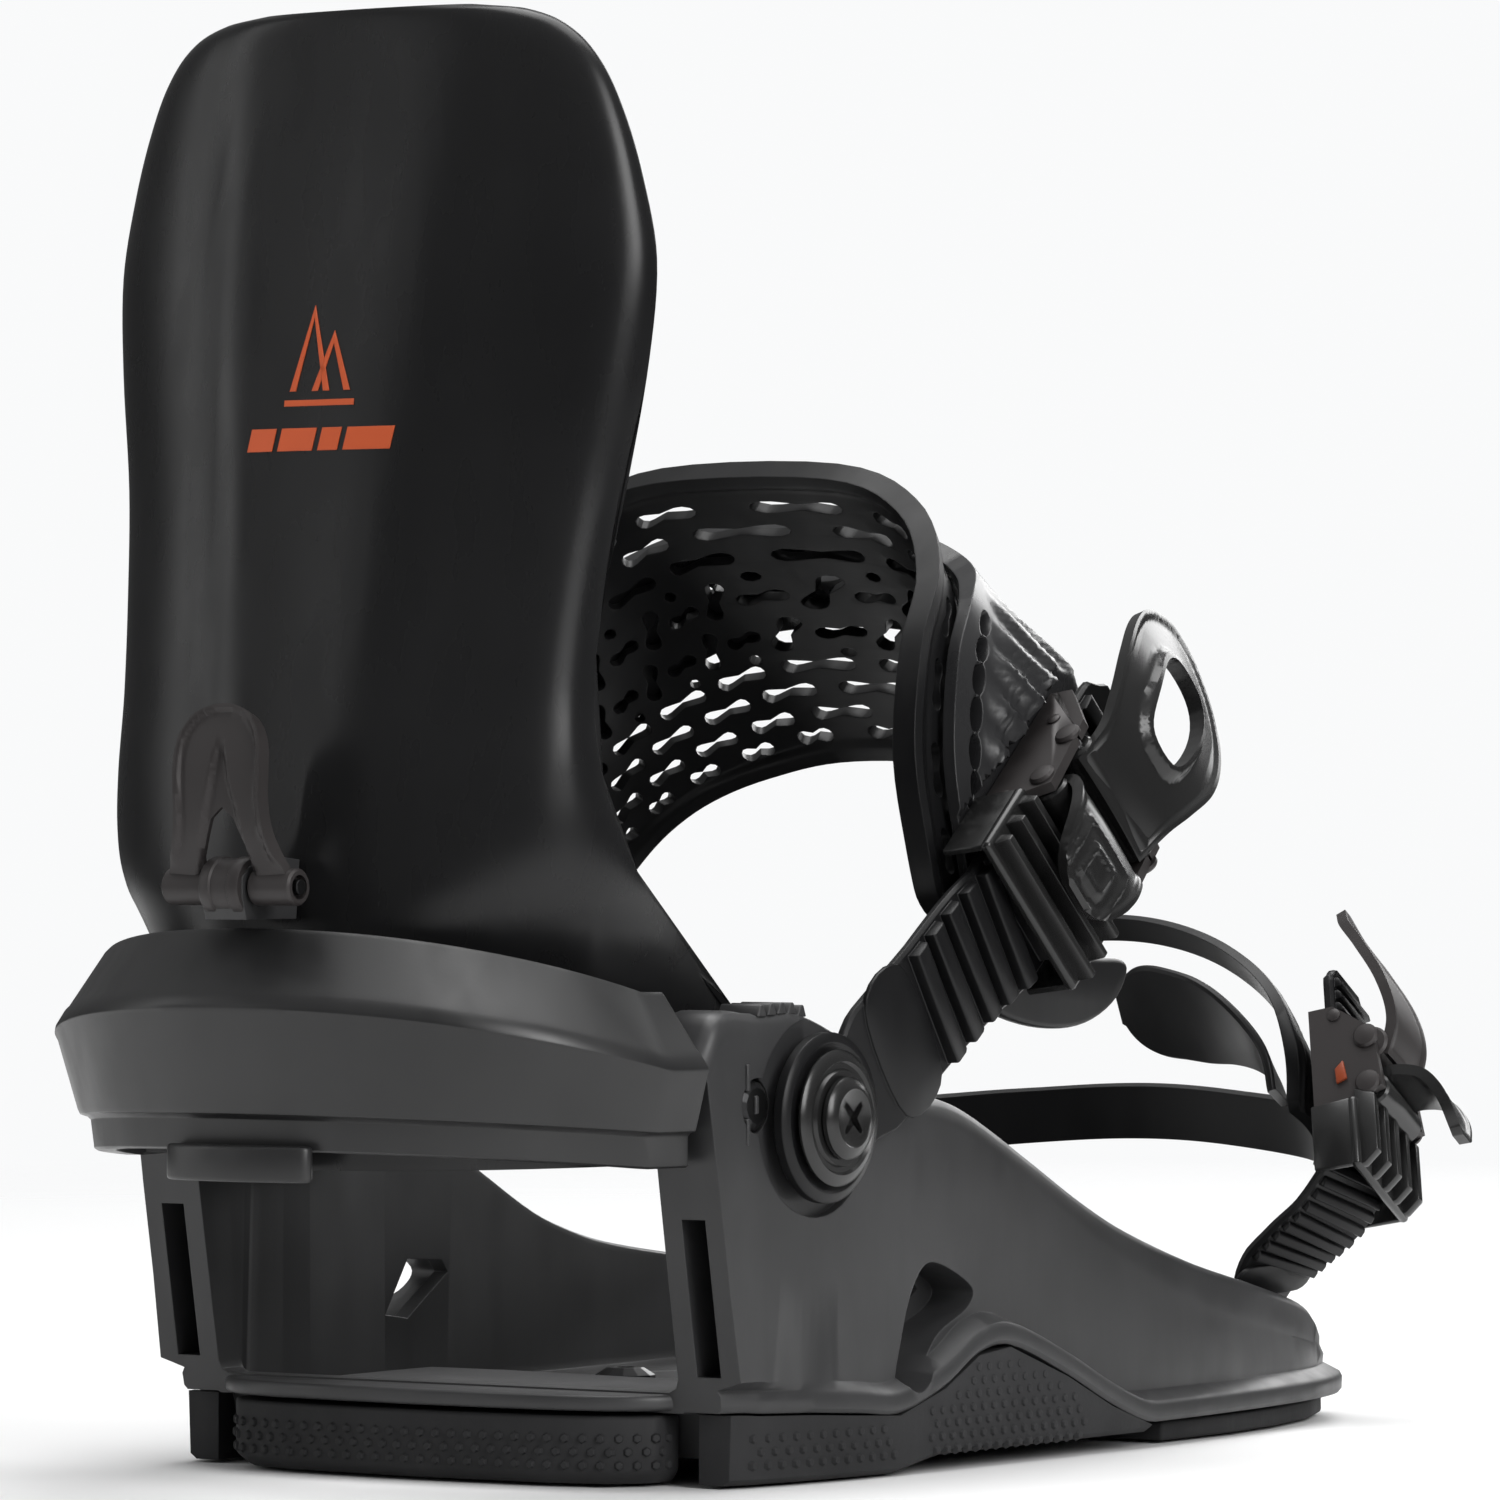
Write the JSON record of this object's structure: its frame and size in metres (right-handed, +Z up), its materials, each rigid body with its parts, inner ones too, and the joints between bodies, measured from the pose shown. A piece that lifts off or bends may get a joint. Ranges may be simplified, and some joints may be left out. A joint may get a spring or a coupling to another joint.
{
  "type": "strap-in snowboard binding",
  "caption": "Right-foot strap-in snowboard binding: baseplate, heel loop, tall highback with lean lever, and ankle and toe straps with ratchet buckles.",
  "frame": {"origin": "centre of the mounting disc on its underside, which lies on the board", "axes": "+Z up off the board, +Y towards the toes, +X towards the rider's right, the side of both buckles"},
  "size_m": [0.1563, 0.3077, 0.257],
  "materials": {
    "nylon": "satin charcoal glass-filled nylon",
    "gloss_nylon": "smooth black nylon",
    "rubber": "black moulded rubber, dotted",
    "foam": "dark grey EVA foam",
    "flexible": "flexible black polyurethane",
    "black_alloy": "black anodised alloy",
    "steel": "plated steel"
  },
  "bodies": {
    "base": {"baseplate": "nylon", "heel_bushing": "rubber", "side_bushing_right": "rubber", "side_bushing_left": "rubber", "toe_bushing": "rubber", "heel_bed": "foam", "heel_loop": "nylon", "loop_screw_right": "steel", "loop_screw_left": "steel", "pivot_bolt_right": "gloss_nylon", "pivot_bolt_left": "gloss_nylon", "pivot_nut_right": "steel", "pivot_nut_left": "steel", "pivot_washer_right": "gloss_nylon", "pivot_washer_left": "gloss_nylon", "toe_bolt_right": "steel", "toe_bolt_left": "steel", "toe_ramp_screw_right": "steel", "toe_ramp_screw_left": "steel"},
    "disc": {"mounting_disc": "nylon", "disc_screw_1": "steel", "disc_screw_2": "steel", "disc_screw_3": "steel", "disc_screw_4": "steel", "disc_washer_1": "steel", "disc_washer_2": "steel", "disc_washer_3": "steel", "disc_washer_4": "steel"},
    "toe_ramp": {"toe_ramp": "nylon", "toe_ramp_pad": "foam"},
    "highback": {"highback": "gloss_nylon", "highback_pad": "foam"},
    "lean_block": {"lean_block": "nylon", "lean_pin": "steel"},
    "lean_lever": {"lean_lever": "black_alloy"},
    "ankle_ladder": {"ankle_ladder": "flexible"},
    "ankle_strap": {"ankle_pad": "flexible", "ankle_frame": "nylon", "ankle_tongue": "flexible", "ankle_buckle_bracket": "black_alloy", "ankle_buckle_hood": "gloss_nylon", "ankle_buckle_rivet": "steel", "ankle_ratchet_pin": "steel", "ankle_release_pin": "steel"},
    "ankle_ratchet_lever": {"ankle_ratchet_lever": "gloss_nylon"},
    "ankle_release_lever": {"ankle_release_lever": "gloss_nylon"},
    "toe_ladder": {"toe_ladder": "flexible"},
    "toe_strap": {"toe_cap_strap": "flexible", "toe_tongue": "flexible", "toe_buckle_bracket": "black_alloy", "toe_buckle_hood": "gloss_nylon", "toe_buckle_rivet": "steel", "toe_ratchet_pin": "steel", "toe_release_pin": "steel"},
    "toe_ratchet_lever": {"toe_ratchet_lever": "black_alloy"},
    "toe_release_lever": {"toe_release_lever": "gloss_nylon"}
  },
  "joints": [
    {"name": "disc_turn", "type": "hinge", "parent": "base", "child": "disc", "pos_m": [0, 0, 0], "axis": [0, 0, 1], "continuous": true},
    {"name": "toe_ramp_slide", "type": "slide", "parent": "base", "child": "toe_ramp", "axis": [0, 1, 0], "range_m": [-0.0038, 0.0038]},
    {"name": "highback_fold", "type": "hinge", "parent": "base", "child": "highback", "pos_m": [0, -0.081, 0.0635], "axis": [-1, 0, 0], "range_deg": [0, 35]},
    {"name": "lean_block_slide", "type": "slide", "parent": "highback", "child": "lean_block", "axis": [0, 0.1345, 0.9909], "range_m": [0, 0.012]},
    {"name": "lean_lever_flip", "type": "hinge", "parent": "lean_block", "child": "lean_lever", "pos_m": [0, -0.165, 0.1042], "axis": [1, 0, 0], "range_deg": [0, 85]},
    {"name": "ankle_ladder_swing", "type": "hinge", "parent": "base", "child": "ankle_ladder", "pos_m": [0.065, -0.081, 0.0635], "axis": [1, 0, 0], "range_deg": [-16, 12]},
    {"name": "ankle_strap_swing", "type": "hinge", "parent": "base", "child": "ankle_strap", "pos_m": [-0.065, -0.081, 0.0635], "axis": [1, 0, 0], "range_deg": [-16, 12]},
    {"name": "ankle_ratchet_open", "type": "hinge", "parent": "ankle_strap", "child": "ankle_ratchet_lever", "pos_m": [0.07361, -0.00111, 0.11917], "axis": [0.1518, 0.6198, -0.77], "range_deg": [0, 60]},
    {"name": "ankle_release_lift", "type": "hinge", "parent": "ankle_strap", "child": "ankle_release_lever", "pos_m": [0.07409, -0.0105, 0.11171], "axis": [-0.1518, -0.6198, 0.77], "range_deg": [0, 20], "stiffness_Nm_per_rad": 0.05},
    {"name": "toe_ladder_swing", "type": "hinge", "parent": "base", "child": "toe_ladder", "pos_m": [0.044, 0.103, 0.0176], "axis": [1, 0, 0], "range_deg": [-12, 12]},
    {"name": "toe_strap_swing", "type": "hinge", "parent": "base", "child": "toe_strap", "pos_m": [-0.044, 0.103, 0.0176], "axis": [1, 0, 0], "range_deg": [-12, 12]},
    {"name": "toe_ratchet_open", "type": "hinge", "parent": "toe_strap", "child": "toe_ratchet_lever", "pos_m": [0.06481, 0.11621, 0.06838], "axis": [-0.1178, 0.8862, -0.4481], "range_deg": [0, 50]},
    {"name": "toe_release_lift", "type": "hinge", "parent": "toe_strap", "child": "toe_release_lever", "pos_m": [0.06761, 0.11218, 0.05967], "axis": [0.1178, -0.8862, 0.4481], "range_deg": [0, 12], "stiffness_Nm_per_rad": 0.03}
  ],
  "couplings": [
    {"joint": "ankle_ladder_swing", "follows": "ankle_strap_swing", "ratio": 1},
    {"joint": "toe_ladder_swing", "follows": "toe_strap_swing", "ratio": 1}
  ]
}
